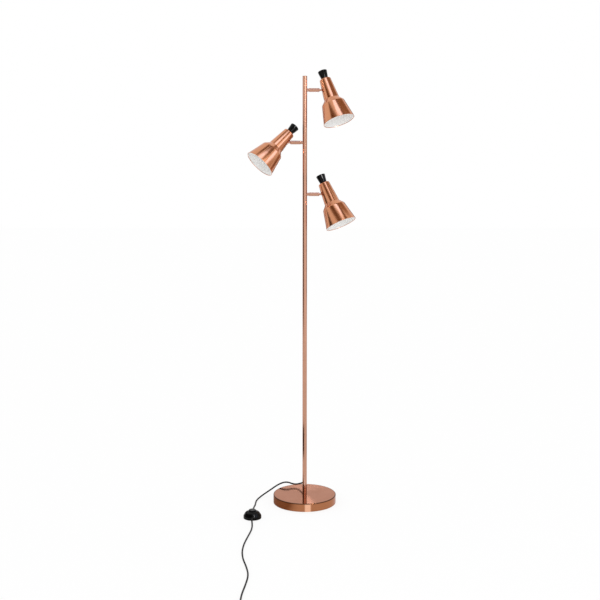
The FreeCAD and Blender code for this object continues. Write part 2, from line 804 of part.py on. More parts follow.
def switch_reliefs():
    """Tapered reliefs, each held by a flange inside the cover's wall."""
    solids = []
    for way in (1, -1):
        flange_place = Vector(0, way * relief_seat, switch_entry_height) + switch_centre
        flange = tube(relief_flange_radius, cord_radius + FIT, relief_flange_height,
                      flange_place - Y * (way * relief_flange_height), Y * way)
        nose = relief(flange_place, Y * way, relief_end - relief_seat, relief_foot_radius,
                      relief_tip_radius)
        solids.append(flange.fuse(nose).removeSplitter())
    return solids


# ---- cords ------------------------------------------------------------------------------
LAMP_ROUTE = [
    cord_exit,
    Vector(0, 52, 61),
    Vector(-11, 72, 47),
    Vector(-38, 84, 38),
    Vector(-68, 90, 48),
    Vector(-97, 86, 39),
    Vector(-126, 76, 21),
    Vector(-158, 50, 7),
    Vector(-178, 8, on_floor),
    Vector(-179, -44, on_floor),
    Vector(switch_x, -84, switch_entry_height - 4),
    Vector(switch_x, switch_y + relief_end, switch_entry_height),
]

MAINS_ROUTE = [
    Vector(switch_x, switch_y - relief_end, switch_entry_height),
    Vector(-181, -250, 5),
    Vector(-181, -286, on_floor),
    Vector(-185, -322, on_floor),
    Vector(-193, -372, on_floor),
    Vector(-201, -430, on_floor),
    Vector(-204, -492, on_floor),
    Vector(-198, -556, on_floor),
    Vector(-184, -618, on_floor),
    Vector(-174, -684, on_floor),
    Vector(-179, -754, on_floor),
    Vector(-187, -820, on_floor),
    Vector(-189, -876, coil_floor),
    Vector(-189, coil_y + cord_diameter, coil_floor),
]

coil_x = MAINS_ROUTE[-1].x


def half_turn(start, end):
    """Half circle on the line from start to end, square to Y at both of its ends. The coil
    winds anticlockwise, so a turn that goes to +X lies on the -Y side."""
    side = -1 if end.x > start.x else 1
    middle = (start + end) / 2 + Y * (side * (end - start).Length / 2)
    return Part.Arc(start, middle, end).toShape()


def coil_wire():
    """Put-away coil: half circles whose radius shrinks by a steady step, one that climbs to
    the upper layer where the spiral turns back, and half circles that grow again. A quarter
    turn and a straight tail bring the cord down to the plug."""
    radius = coil_first_radius
    radii = [radius, radius - turn_step, radius - 2 * turn_step]
    climb = radius - 3 * turn_step
    at = Vector(coil_x, coil_y, coil_floor)
    lead_in = at + Y * cord_diameter
    edges = [Part.LineSegment(lead_in, at).toShape()]
    steps = [(r, coil_floor) for r in radii] + [(climb, coil_upper)]
    steps += [(r, coil_upper) for r in radii[:0:-1]]
    way = 1
    for r, height in steps:
        following = Vector(at.x + 2 * r * way, coil_y, height)
        edges.append(half_turn(at, following))
        at = following
        way = -way
    centre = at + X * radius
    bend = centre - (X + Y) * (radius * math.sqrt(0.5))
    bottom = centre - Y * radius
    edges.append(Part.Arc(at, bend, bottom).toShape())
    drop = plug_axis_height - coil_upper
    tail = [bottom, bottom + X * tail_flat, bottom + Vector(tail_end, 0, drop),
            bottom + Vector(tail_end + 2 * cord_diameter, 0, drop)]
    edges += rounded_edges(tail, cord_radii(tail, 0.4))
    return Part.Wire(edges)


def least_gap(wire, diameter, spacing=2.0):
    """Least gap of a wound tube to itself, on points along its middle, leaving out points
    that follow each other within a few diameters."""
    points = wire.discretize(int(wire.Length / spacing))
    skip = int(4 * diameter / spacing)
    least = min((points[i] - points[j]).Length
                for i in range(len(points)) for j in range(i + skip, len(points)))
    return least - diameter


def cord_coil():
    wire = coil_wire()
    solid = swept(wire, cord_radius)
    expected = math.pi * cord_radius ** 2 * wire.Length
    print("cord_coil length", round(wire.Length, 1), "volume/expected",
          round(solid.Volume / expected, 4), "least gap", round(least_gap(wire, cord_diameter), 2))
    return solid


def coil_tie():
    """Flat band round the turns on the side away from the lead-in."""
    room = cord_radius + CLEAR
    right = coil_x + 2 * coil_first_radius
    left = right - 2 * turn_step
    inner = [Vector(left - room, 0, coil_floor - cord_radius - SEAT),
             Vector(right + room, 0, coil_floor - cord_radius - SEAT),
             Vector(right + room, 0, coil_upper + room), Vector(left - room, 0, coil_upper + room)]
    t = tie_thickness
    outer = [inner[0] + Vector(-t, 0, -t), inner[1] + Vector(t, 0, -t),
             inner[2] + Vector(t, 0, t), inner[3] + Vector(-t, 0, t)]
    wires = [Part.Wire(rounded_edges(outer, [tie_round + t] * 4, closed=True)),
             Part.Wire(rounded_edges(inner, [tie_round] * 4, closed=True))]
    body = Part.Face(wires[0]).extrude(Y * tie_width).cut(Part.Face(wires[1]).extrude(Y * tie_width))
    body.translate(Y * (coil_y - tie_width / 2))
    return body


# ---- plug -------------------------------------------------------------------------------
def plug_start():
    edge = coil_wire().Edges[-1]
    return edge.valueAt(edge.LastParameter)


def plug_body():
    """Flat two-pin plug, widening from the cord to its face, with a tapered relief."""
    start = plug_start()
    back = start + X * plug_relief
    half = plug_width / 2
    neck = plug_neck_width / 2
    outline = [Vector(0, -neck, 0), Vector(plug_shoulder, -half, 0),
               Vector(plug_length, -half, 0), Vector(plug_length, half, 0),
               Vector(plug_shoulder, half, 0), Vector(0, neck, 0)]
    corner = plug_corner_round
    rounds = [corner, plug_shoulder_round, corner, corner, plug_shoulder_round, corner]
    face = Part.Face(Part.Wire(rounded_edges(outline, rounds, closed=True)))
    body = face.extrude(Z * plug_thickness)
    rims = [e for e in body.Edges if abs(e.BoundBox.ZLength) < 1e-6]
    body = body.makeFillet(plug_edge, rims)
    body.translate(back - Z * plug_thickness / 2)
    nose = relief(back + X * plug_overlap, -X, plug_relief + plug_overlap, plug_relief_radius,
                  relief_tip_radius)
    plugged = cylinder(cord_radius + FIT, 2 * plug_overlap, back, X)
    body = body.fuse([nose, plugged]).removeSplitter()
    for way in (1, -1):
        hole_start = back + Vector(plug_length - pin_in_plug, way * pin_spacing / 2, 0)
        body = body.cut(cylinder(pin_root_radius, pin_in_plug, hole_start, X))
    return body


def plug_pins():
    face = plug_start() + X * (plug_relief + plug_length)
    solids = []
    for way in (1, -1):
        start = face + Vector(0, way * pin_spacing / 2, 0)
        pin = cylinder(pin_radius, pin_length, start, X)
        tip = max(pin.Edges, key=lambda e: e.CenterOfMass.x)
        root = cylinder(pin_root_radius - FIT / 5, pin_in_plug, start - X * pin_in_plug, X)
        solids.append(pin.makeFillet(pin_tip_round, [tip]).fuse(root).removeSplitter())
    return solids


# ---- the nodes --------------------------------------------------------------------------
def on_each_arm(solid):
    return [placed(solid, arm_placement(side, arm)) for _, side, arm, _, _ in HEADS]


def lamp_nodes():
    nodes = {
        "base_shell": base_shell(),
        "base_weight": base_weight(),
        "base_pad": base_pad(),
        "foot_rod": foot_rod(),
        "foot_nut": foot_nut(),
        "pole_lower": pole_tube(0),
        "pole_middle": pole_tube(1),
        "pole_upper": pole_tube(2),
        "pole_inserts": pole_inserts(),
        "pole_couplers": pole_couplers(),
        "pole_cap": pole_cap(),
        "cord_grommet": cord_grommet(),
        "pole_wiring": pole_wiring(),
        "arm_spigots": on_each_arm(arm_spigot()),
        "arm_saddle_nuts": on_each_arm(saddle_nut()),
        "arm_sleeves": on_each_arm(arm_sleeve()),
        "switch_cover": switch_cover(),
        "switch_plate": switch_plate(),
        "switch_button": switch_button(),
        "switch_spring": switch_spring(),
        "switch_reliefs": switch_reliefs(),
        "cord_lamp": cord_tube("cord_lamp", LAMP_ROUTE),
        "cord_mains": cord_tube("cord_mains", MAINS_ROUTE),
        "cord_coil": cord_coil(),
        "coil_tie": coil_tie(),
        "plug_body": plug_body(),
        "plug_pins": plug_pins(),
    }
    stem_pieces = {"swivel_stem": swivel_stem(), "friction_ring": friction_ring(),
                   "stem_leads": stem_leads()}
    head_pieces = {"shade": shade(), "aiming_knob": aiming_knob(), "head_stud": head_stud(),
                   "head_bracket": head_bracket(), "hinge_pins": Part.Compound(hinge_pins()),
                   "lamp_holder": lamp_holder(),
                   "socket_contacts": Part.Compound(socket_contacts())}
    for name, side, arm, tilt, roll in HEADS:
        stem_place = pivot_placement(side, arm, roll, 0)
        head_place = pivot_placement(side, arm, roll, tilt)
        for piece, solid in stem_pieces.items():
            nodes[name + "_" + piece] = placed(solid, stem_place)
        for piece, solid in head_pieces.items():
            nodes[name + "_" + piece] = placed(solid, head_place)
        nodes[name + "_holder_leads"] = placed(holder_leads(tilt), head_place)
    return nodes


def main():
    os.makedirs("parts", exist_ok=True)
    for name, shape in lamp_nodes().items():
        if isinstance(shape, list):
            shape = Part.Compound(shape)
        solids = shape.Solids
        if not solids or not all(s.isValid() and s.Volume > 0 for s in solids):
            raise ValueError(name + " isn't made of valid solids")
        shape.exportStep("parts/" + name + ".step")


main()
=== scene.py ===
import json
import math

import bmesh
import bpy
import numpy as np
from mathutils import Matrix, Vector


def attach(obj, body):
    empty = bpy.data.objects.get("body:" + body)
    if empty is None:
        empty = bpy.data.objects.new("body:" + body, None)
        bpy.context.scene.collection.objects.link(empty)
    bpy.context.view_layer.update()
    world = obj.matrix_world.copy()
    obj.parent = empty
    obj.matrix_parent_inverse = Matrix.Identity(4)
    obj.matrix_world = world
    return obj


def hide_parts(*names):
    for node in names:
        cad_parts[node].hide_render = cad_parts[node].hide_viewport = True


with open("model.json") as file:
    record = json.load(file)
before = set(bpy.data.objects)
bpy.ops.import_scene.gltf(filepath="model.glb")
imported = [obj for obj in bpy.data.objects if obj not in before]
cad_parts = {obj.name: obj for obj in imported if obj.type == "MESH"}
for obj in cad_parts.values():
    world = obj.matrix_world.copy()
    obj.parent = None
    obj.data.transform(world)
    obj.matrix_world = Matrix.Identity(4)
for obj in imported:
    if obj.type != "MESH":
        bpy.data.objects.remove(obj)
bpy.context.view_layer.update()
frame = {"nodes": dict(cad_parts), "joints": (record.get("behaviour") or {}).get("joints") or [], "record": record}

# The looks of a floor lamp with three spot heads, in metres. +Z is up and the front faces -Y.
MOUNTS = {mount["name"]: mount for mount in frame["record"]["mounts"]}
JOINTS = {joint["name"]: joint for joint in frame["joints"]}
MM = 0.001
HEADS = ("top", "left", "lower")

# ---- camera -----------------------------------------------------------------------------
CAMERA_PLACE = (-0.0169, -3.870, 1.331)
CAMERA_PITCH = 8.566            # degrees below level
CAMERA_LENS = 65.85             # on a sensor 36 mm wide

# ---- sizes of the pieces made here, in millimetres --------------------------------------
CORD = 5.5
LAMP_ROUTE = [
    (0, 28, 64), (0, 52, 61), (-11, 72, 47), (-38, 84, 38), (-68, 90, 48), (-97, 86, 39),
    (-126, 76, 21), (-158, 50, 7), (-178, 8, 2.75), (-179, -44, 2.75), (-184, -84, 5.5),
    (-184, -120.5, 9.5),
]
MAINS_ROUTE = [
    (-184, -223.5, 9.5), (-181, -250, 5), (-181, -286, 2.75), (-185, -322, 2.75),
    (-193, -372, 2.75), (-201, -430, 2.75), (-204, -492, 2.75), (-198, -556, 2.75),
    (-184, -618, 2.75), (-174, -684, 2.75), (-179, -754, 2.75), (-187, -820, 2.75),
    (-189, -876, 3.85), (-189, -924.5, 3.85),
]
COIL_Y = -930.0
COIL_RADII = (33.0, 30.0, 27.0, 24.0, 27.0, 30.0)   # of its half circles, in order
COIL_CLIMB = 3                  # the half circle that climbs to the upper layer
COIL_FLOOR = 3.85
COIL_UPPER = 10.1
COIL_STEPS = 12                 # points on each half circle
PLUG_AXIS = 7.0                 # height of the plug's middle
TAIL_FLAT = 12.0                # from the coil to where the tail starts down to the plug
TAIL_END = 34.0                 # and to where it is down
TAIL_STRAIGHT = 11.0            # its last stretch, in the plug
SHADE_WALL = 0.8
NECK_TOP = 19.8                 # radii of the shade's outside, and their depths from the top
NECK_FOOT = 27.2
NECK_LENGTH = 76.0
SHOULDER = 40.6
SHOULDER_DEPTH = 92.0
MOUTH = 55.4
SHADE_LENGTH = 158.5
SHADE_ROUNDS = (0, 2.5, 3.0, 11.0, 0.3)     # of the outline's corners, from the top
HEM = 1.4                       # how far the turned hem comes in and up
STUD_HOLE = 5.05
PIVOT_DROP = 35.8               # from the neck's top to the pivot
PIVOT_INSET = 16.5              # from the shade's axis to the pivot
SLOT_HALF = 4.0                 # half width of the slot in the neck, and radius of its ends
SLOT_LOW = -0.66                # middles of its round ends, from the pivot
SLOT_HIGH = 9.04
SLOT_FROM = -8.8                # how far the cut runs along x, from the pivot
SLOT_TO = -0.7
SLOT_POINTS = 48
KNOB_FOOT = 11.5                # radii of the aiming knob
KNOB_TOP = 16.4
KNOB_RIM = 15.4
KNOB_SHOULDER = 30.8            # height up to its dome
KNOB_DOME = 2.2                 # height of the dome
KNOB_LIFT = 0.05                # gap between knob and neck

# ---- light ------------------------------------------------------------------------------
FLOOR_GLOW = 0.85
FLOOR_REACH = 12.0              # half the floor's side
FAN_APEX = 0.0585               # how far before the pole the fan of light on the floor starts
FAN_SIDES = ((-0.04, 0.06), (0.34, 0.46))   # soft left and right side, as x over distance
FAN_START = (0.09, 0.11)
FIELD_LEFT = (0.2, 0.9)         # soft side of the brown field, as -x over distance
FIELD_END = (0.22, 0.34)        # distances from the pole over which fan and field fade
KEY_PLACE = (1.3, -3.0, 1.6)
KEY_AIM = (0.0, 0.0, 0.7)
KEY_SIZE = 0.5
KEY_POWER = 5.0
DARK = (0.16, 0.08, 0.025)
BROWN = (0.34, 0.22, 0.13)
BLACK = (0.05, 0.025, 0.010)
WARM = (0.64, 0.54, 0.46)
BRIGHT = (2.0, 2.5, 3.7)
MILD = (1.6, 1.6, 1.7)
STRONG = (5.0, 5.0, 5.5)
RIM_LIGHT = (2.3, 3.2, 4.5)
SPARK = (60.0, 60.0, 60.0)
FAR = (1.3, 2.5)                # height of the middle, and reach, of each ring of cards
LOW = (0.03, 2.4)
NEAR = (0.12, 0.42)
CARD_STEP = 0.002               # how much nearer each card is than the one before
CARD_POINTS = 17                # points on each stretch of a card
CARD_SIDE = 0.2                 # share of a card's width over which each side fades
CARDS = [                       # ring, half width, soft ends, colour, azimuths and elevations
    (FAR, 10, 0.1, BRIGHT, [(-24, 56), (-4, 62), (17, 60), (30, 50)]),
    (FAR, 8, 0.1, BRIGHT, [(48, 13), (62, 20), (78, 12)]),
    (FAR, 12, 0.1, DARK, [(-74, 30), (-45, 36), (-14, 36), (6, 38)]),
    (FAR, 8, 0.1, DARK, [(5, 80), (40, 66), (50, 50), (38, 36)]),
    (FAR, 8, 0.1, DARK, [(42, 66), (52, 48), (59, 36)]),
    (FAR, 9, 0.1, WARM, [(62, 4), (92, -14)]),
    (FAR, 14, 0.1, BROWN, [(34, 70), (70, 64), (100, 52), (130, 36)]),
    (FAR, 10, 0.1, DARK, [(-60, 74), (120, 86)]),
    (FAR, 30, 0.1, BLACK, [(-74, 5), (-74, -29)]),
    (FAR, 10, 0.1, MILD, [(8, 5), (14, -12), (32, -28)]),
    (FAR, 20, 0.1, BROWN, [(115, 0), (115, -24)]),
    (FAR, 9, 0.1, DARK, [(156, 28), (156, -26)]),
    (FAR, 8, 0.1, DARK, [(-150, 26), (-150, -26)]),
    (FAR, 6, 0.1, SPARK, [(24, 18), (29, 29)]),
    (LOW, 1.3, 0.1, STRONG, [(179.2, 23), (178.8, 27.6), (177.3, 36), (174, 45)]),
    (NEAR, 11, 0.1, BLACK, [(-124, 0), (-20, 0)]),
    (NEAR, 11, 0.2, WARM, [(72, 0), (128, 0)]),
]


# ---- shader expressions -----------------------------------------------------------------
class Signal:
    """A shader socket in an expression. Each operator adds the Math node that it names."""

    def __init__(self, paint, socket):
        self.paint = paint
        self.socket = socket

    def maths(self, operation, *others):
        sockets = {0: self}
        sockets.update({i + 1: other for i, other in enumerate(others)})
        return self.paint.node("ShaderNodeMath", {"operation": operation}, sockets)

    def __add__(self, other):
        return self.maths("ADD", other)

    def __sub__(self, other):
        return self.maths("SUBTRACT", other)

    def __rsub__(self, other):
        return self.paint.node("ShaderNodeMath", {"operation": "SUBTRACT"}, {0: other, 1: self})

    def __mul__(self, other):
        return self.maths("MULTIPLY", other)

    def __truediv__(self, other):
        return self.maths("DIVIDE", other)

    def __pow__(self, other):
        return self.maths("POWER", other)

    __radd__ = __add__
    __rmul__ = __mul__

    def step(self, low, high):
        """0 below low, 1 above high and a smooth rise between them."""
        settings = {"interpolation_type": "SMOOTHSTEP"}
        sockets = {0: self, 1: low, 2: high, 3: 0.0, 4: 1.0}
        return self.paint.node("ShaderNodeMapRange", settings, sockets)


class Paint:
    """The nodes of one material or of the world."""

    def __init__(self, tree):
        self.tree = tree
        self.tree.nodes.clear()

    def node(self, kind, settings=None, sockets=None, out=0):
        """One node: its settings first, then a value or a link for each socket named."""
        made = self.tree.nodes.new(kind)
        for key, value in (settings or {}).items():
            setattr(made, key, value)
        for key, value in (sockets or {}).items():
            if isinstance(value, Signal):
                self.tree.links.new(value.socket, made.inputs[key])
            else:
                made.inputs[key].default_value = value
        return Signal(self, made.outputs[out]) if len(made.outputs) else None

    def place(self, which="Object"):
        return self.node("ShaderNodeTexCoord", out=which)

    def outputs(self, made, *which):
        """Several outputs, by name or number, of the node that made one signal."""
        return [Signal(self, made.socket.node.outputs[one]) for one in which]

    def split(self, vector):
        return self.outputs(self.node("ShaderNodeSeparateXYZ", None, {0: vector}), 0, 1, 2)

    def join(self, x, y, z):
        return self.node("ShaderNodeCombineXYZ", None, {0: x, 1: y, 2: z})

    def noise(self, where, scale, detail=2.0, roughness=0.5):
        sockets = {"Vector": where, "Scale": scale, "Detail": detail, "Roughness": roughness}
        return self.node("ShaderNodeTexNoise", None, sockets)

    def blend(self, share, low, high):
        """Colours mixed by a share: low at 0 and high at 1."""
        sockets = {0: share, 6: low if isinstance(low, Signal) else (*low, 1.0),
                   7: high if isinstance(high, Signal) else (*high, 1.0)}
        return self.node("ShaderNodeMix", {"data_type": "RGBA"}, sockets, out=2)

    def bump(self, height, distance, strength=1.0):
        sockets = {"Height": height, "Distance": distance, "Strength": strength}
        return self.node("ShaderNodeBump", None, sockets)

    def surface(self, **values):
        """A Principled shader: each keyword is a socket's name with _ for a space."""
        sockets = {}
        for key, value in values.items():
            if key in ("Base_Color", "Emission_Color") and not isinstance(value, Signal):
                value = (*value, 1.0)
            sockets[key.replace("_", " ")] = value
        shader = self.node("ShaderNodeBsdfPrincipled", None, sockets)
        self.node("ShaderNodeOutputMaterial", None, {0: shader})


def painted(name, make, *values, **more):
    """A new material whose nodes make(paint, *values, **more) adds."""
    material = bpy.data.materials.new(name)
    material.use_nodes = True
    make(Paint(material.node_tree), *values, **more)
    return material


# ---- finishes ---------------------------------------------------------------------------
EDGE_TINT = (0.90, 0.80, 0.80)  # keeps the copper's own colour where it is seen at a slant


def ring_lines(paint, where):
    """Brushing round the Z axis: noise on the radius and the height, fine across the lines,
    and very slow along them."""
    x, y, z = paint.split(where)
    radius = (x * x + y * y) ** 0.5
    fine = paint.noise(paint.join(radius * 2600.0, z * 2600.0, x * 6.0), 1.0, 3.0)
    broad = paint.noise(paint.join(radius * 420.0, z * 420.0, y * 4.0), 1.0, 2.0)
    return fine, broad


def copper(paint, tone, rough, lines, grain=0.4, coat=0.4, edge=None, **more):
    """Brushed copper under a clear lacquer: lines round the piece vary the tone, roughness and
    height a little, and a slow cloud stands for the handling of the sheet. An edge, given as
    radius and height, gets a painted dark line where the spun sheet turns down: a painted
    dark reflection on the rounded rim, not a colour of the copper."""
    where = paint.place("Object")
    fine, broad = lines(paint, where)
    cloud = paint.noise(where, 26.0, 3.0)
    share = fine * 0.45 + broad * 0.35 + cloud * 0.2
    dark = tuple(c * 0.84 for c in tone)
    colour = paint.blend(share.step(0.25, 0.75), dark, tone)
    if edge:
        # Painted dark reflection: the colour drops to a third of the tone in a thin ring at the rim's rounded
        # edge.
        x, y, z = paint.split(where)
        painted_edge_distance = (((x * x + y * y) ** 0.5 - edge[0]) ** 2.0 + (z - edge[1]) ** 2.0) ** 0.5
        colour = paint.blend(painted_edge_distance.step(0.0022, 0.0034), tuple(c * 0.3 for c in tone), colour)
    height = fine * 0.6 + broad * 0.4
    paint.surface(Base_Color=colour, Metallic=1.0, Roughness=rough + share * 0.08,
                  Specular_Tint=(*EDGE_TINT, 1.0), Coat_Weight=coat + cloud * 0.2,
                  Coat_Roughness=0.1,
                  Normal=paint.bump(height, 0.000012 * grain, 0.7), **more)


def along_profile(paint, where):
    """Brushing on a turned shell with its own map: U runs round the shell and V along its
    profile, both in metres."""
    u, v, _ = paint.split(paint.place("UV"))
    fine = paint.noise(paint.join(u * 5.0, v * 2600.0, 0.0), 1.0, 3.0)
    broad = paint.noise(paint.join(u * 3.0, v * 420.0, 0.0), 1.0, 2.0)
    return fine, broad


def along_arm(paint, where):
    """Brushing round the arms, which lie along X."""
    x, y, z = paint.split(where)
    fine = paint.noise(paint.join(x * 2600.0, y * 6.0, z * 6.0), 1.0, 3.0)
    broad = paint.noise(paint.join(x * 420.0, y * 4.0, z * 4.0), 1.0, 2.0)
    return fine, broad


def enamel(paint):
    """White sprayed inside of a shade: slight orange peel, and a slow cloud in tone and
    gloss."""
    where = paint.place("Object")
    peel = paint.noise(where, 900.0, 2.0)
    cloud = paint.noise(where, 40.0, 3.0)
    paint.surface(Base_Color=paint.blend(cloud, (0.90, 0.89, 0.87), (0.95, 0.945, 0.935)),
                  Roughness=0.36 + cloud * 0.12, Normal=paint.bump(peel, 0.000004, 0.5))


def gloss_black(paint):
    """Polished black moulding: faint flow waves and a trace of dust in the gloss."""
    where = paint.place("Object")
    wave = paint.noise(where, 110.0, 2.0)
    dust = paint.noise(where, 1500.0, 2.0).step(0.60, 0.72)
    colour = paint.blend(dust * 0.5, (0.002, 0.002, 0.002), (0.02, 0.02, 0.02))
    paint.surface(Base_Color=colour, Specular_IOR_Level=0.12,
                  Roughness=0.10 + wave * 0.06 + dust * 0.08,
                  Normal=paint.bump(wave, 0.00003, 0.4))


def grained(paint, dark, pale, rough, scale, depth):
    """A moulded or extruded surface: fine grain, a slow cloud of tone and a matching gloss."""
    where = paint.place("Object")
    grain = paint.noise(where, scale, 3.0, 0.6)
    cloud = paint.noise(where, 45.0, 2.0)
    paint.surface(Base_Color=paint.blend(grain * 0.5 + cloud * 0.5, dark, pale),
                  Specular_IOR_Level=0.2, Roughness=rough + grain * 0.12,
                  Normal=paint.bump(grain, depth, 0.6))


def plated(paint, dark, pale, rough):
    """Plated steel or brass: turning lines, and a slow bloom in tone and gloss."""
    where = paint.place("Object")
    fine, broad = ring_lines(paint, where)
    bloom = paint.noise(where, 160.0, 3.0)
    paint.surface(Base_Color=paint.blend(bloom, dark, pale), Metallic=1.0,
                  Roughness=rough + fine * 0.08 + bloom * 0.10,
                  Normal=paint.bump(fine * 0.5 + broad * 0.5, 0.00001, 0.5))


def raw_casting(paint):
    """Sand-cast iron: a coarse grain, and a slow cloud of tone."""
    where = paint.place("Object")
    sand = paint.noise(where, 700.0, 4.0, 0.65)
    cloud = paint.noise(where, 30.0, 3.0)
    paint.surface(Base_Color=paint.blend(cloud, (0.05, 0.05, 0.052), (0.13, 0.12, 0.115)),
                  Metallic=0.6, Roughness=0.55 + sand * 0.25, Normal=paint.bump(sand, 0.00025, 0.8))


FINISHES = {
    "copper_plate": painted("pole_copper", copper, (0.57, 0.29, 0.19), 0.13, ring_lines,
                            grain=0.15),
    "iron": painted("cast_iron", raw_casting),
    "pad": painted("foam_pad", grained, (0.02, 0.02, 0.02), (0.06, 0.06, 0.06),
                   0.8, 1400.0, 0.0002),
    "zinc_steel": painted("zinc_steel", plated, (0.50, 0.50, 0.48), (0.68, 0.68, 0.66), 0.28),
    "black_rubber": painted("relief_rubber", grained, (0.004, 0.004, 0.004), (0.012, 0.012, 0.012),
                            0.42, 1800.0, 0.00003),
    "cord_jacket": painted("cord_jacket", grained, (0.004, 0.004, 0.004), (0.012, 0.012, 0.012),
                           0.38, 2200.0, 0.00002),
    "wire_jacket": painted("wire_jacket", grained, (0.62, 0.62, 0.58), (0.74, 0.74, 0.70),
                           0.45, 1800.0, 0.00002),
    "black_gloss": painted("gloss_black", gloss_black),
    "black_matt": painted("matt_black", grained, (0.012, 0.012, 0.012), (0.030, 0.030, 0.030),
                          0.50, 1600.0, 0.00005),
    "holder_plastic": painted("holder_plastic", grained, (0.74, 0.72, 0.66), (0.84, 0.82, 0.77),
                              0.42, 1500.0, 0.00003),
    "nylon": painted("nylon", grained, (0.70, 0.69, 0.62), (0.80, 0.79, 0.73),
                     0.45, 1200.0, 0.00003),
    "tie_band": painted("tie_band", grained, (0.03, 0.03, 0.03), (0.06, 0.06, 0.06),
                        0.5, 1700.0, 0.00004),
    "plated_brass": painted("nickel_brass", plated, (0.60, 0.56, 0.48), (0.74, 0.70, 0.62), 0.22),
}
SHADE_COPPER = painted("shade_copper", copper, (0.70, 0.29, 0.14), 0.15, along_profile,
                       grain=0.2)
ARM_COPPER = painted("arm_copper", copper, (0.57, 0.29, 0.19), 0.13, along_arm)
# edge= places the painted dark reflection line round the base's top rim.
BASE_COPPER = painted("base_copper", copper, (0.44, 0.17, 0.075), 0.09, ring_lines,
                      grain=0.25, coat=0.0, edge=(0.1135, 0.0305), Anisotropic=0.9,
                      Anisotropic_Rotation=0.25)
ENAMEL = painted("white_enamel", enamel)


def dress_nodes():
    """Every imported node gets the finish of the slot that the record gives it."""
    slots = {part["node"]: part["material_slot"] for part in frame["record"]["subparts"]}
    for name, node in frame["nodes"].items():
        finish = FINISHES[slots[name]]
        node.data.materials.clear()
        node.data.materials.append(finish)
    frame["nodes"]["base_shell"].data.materials[0] = BASE_COPPER
    for name in ["arm_spigots", "arm_sleeves"] + [head + "_swivel_stem" for head in HEADS]:
        frame["nodes"][name].data.materials[0] = ARM_COPPER


# ---- camera -----------------------------------------------------------------------------
def add_camera():
    camera = bpy.data.objects.new("camera", bpy.data.cameras.new("camera"))
    bpy.context.scene.collection.objects.link(camera)
    camera.data.sensor_width = 36.0
    camera.data.lens = CAMERA_LENS
    camera.location = CAMERA_PLACE
    camera.rotation_euler = (math.radians(90.0 - CAMERA_PITCH), 0.0, 0.0)
    bpy.context.scene.camera = camera
    bpy.context.scene.view_settings.view_transform = "Standard"


# ---- cords ------------------------------------------------------------------------------
def cord_piece(name, route):
    """A cord on one open spline, with the route's points, in millimetres, as its control
    points."""
    curve = bpy.data.curves.new(name, "CURVE")
    curve.dimensions = "3D"
    curve.bevel_depth = CORD / 2 * MM
    curve.bevel_resolution = 6
    curve.resolution_u = 12
    curve.use_fill_caps = True
    spline = curve.splines.new("NURBS")
    spline.points.add(len(route) - 1)
    points = np.column_stack([np.array(route, float) * MM, np.ones(len(route))])
    spline.points.foreach_set("co", points.ravel())
    spline.order_u = 3
    spline.use_endpoint_u = True
    curve.materials.append(FINISHES["cord_jacket"])
    piece = bpy.data.objects.new(name, curve)
    bpy.context.scene.collection.objects.link(piece)
    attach(piece, "root")
    return piece


def coil_route():
    """Points of the put-away coil: half circles whose radius steps down and up again, one of
    which climbs to the upper layer, then a quarter circle and the tail down to the plug."""
    x = MAINS_ROUTE[-1][0]
    height = COIL_FLOOR
    points = [(x, COIL_Y, height)]
    side = 1
    for number, radius in enumerate(COIL_RADII):
        top = COIL_UPPER if number >= COIL_CLIMB else COIL_FLOOR
        for i in range(1, COIL_STEPS + 1):
            turn = math.pi * i / COIL_STEPS
            across = x + side * radius * (1 - math.cos(turn))
            along = COIL_Y - side * radius * math.sin(turn)
            points.append((across, along, height + (top - height) * i / COIL_STEPS))
        x += 2 * radius * side
        height = top
        side = -side
    radius = COIL_RADII[0]
    for i in range(1, COIL_STEPS // 2 + 1):
        turn = math.pi * i / COIL_STEPS
        points.append((x + radius * (1 - math.cos(turn)), COIL_Y - radius * math.sin(turn), height))
    x, y, _ = points[-1]
    points.append((x + TAIL_FLAT, y, COIL_UPPER))
    points.append((x + TAIL_END, y, PLUG_AXIS))
    points.append((x + TAIL_END + TAIL_STRAIGHT, y, PLUG_AXIS))
    return points


def declare_cords():
    lamp_cord = cord_piece("lamp_cord", LAMP_ROUTE)
    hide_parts("cord_lamp")
    mains_cord = cord_piece("mains_cord", MAINS_ROUTE + coil_route())
    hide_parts("cord_mains", "cord_coil")


# ---- surfaces worked out here -----------------------------------------------------------
def rounded_profile(points, steps=7):
    """Profile of (radius, height, corner radius) points in millimetres, each corner an arc
    tangent to its two lines, as an array of (radius, height) in metres."""
    made = []
    count = len(points)
    for i, (r, z, corner) in enumerate(points):
        here = np.array([r, z], float)
        if corner <= 0 or i in (0, count - 1):
            made.append(here[None])
            continue
        back = np.array(points[i - 1][:2], float) - here
        ahead = np.array(points[i + 1][:2], float) - here
        back /= np.linalg.norm(back)
        ahead /= np.linalg.norm(ahead)
        half = math.acos(np.clip(back @ ahead, -1, 1)) / 2
        middle = (back + ahead) / np.linalg.norm(back + ahead)
        centre = here + middle * corner / math.sin(half)
        start = here + back * corner / math.tan(half) - centre
        end = here + ahead * corner / math.tan(half) - centre
        sweep = math.acos(np.clip(start @ end / corner ** 2, -1, 1))
        share = np.linspace(0, 1, steps)[:, None]
        weight = np.sin((1 - share) * sweep), np.sin(share * sweep)
        made.append(centre + (weight[0] * start + weight[1] * end) / math.sin(sweep))
    return np.vstack(made) * MM


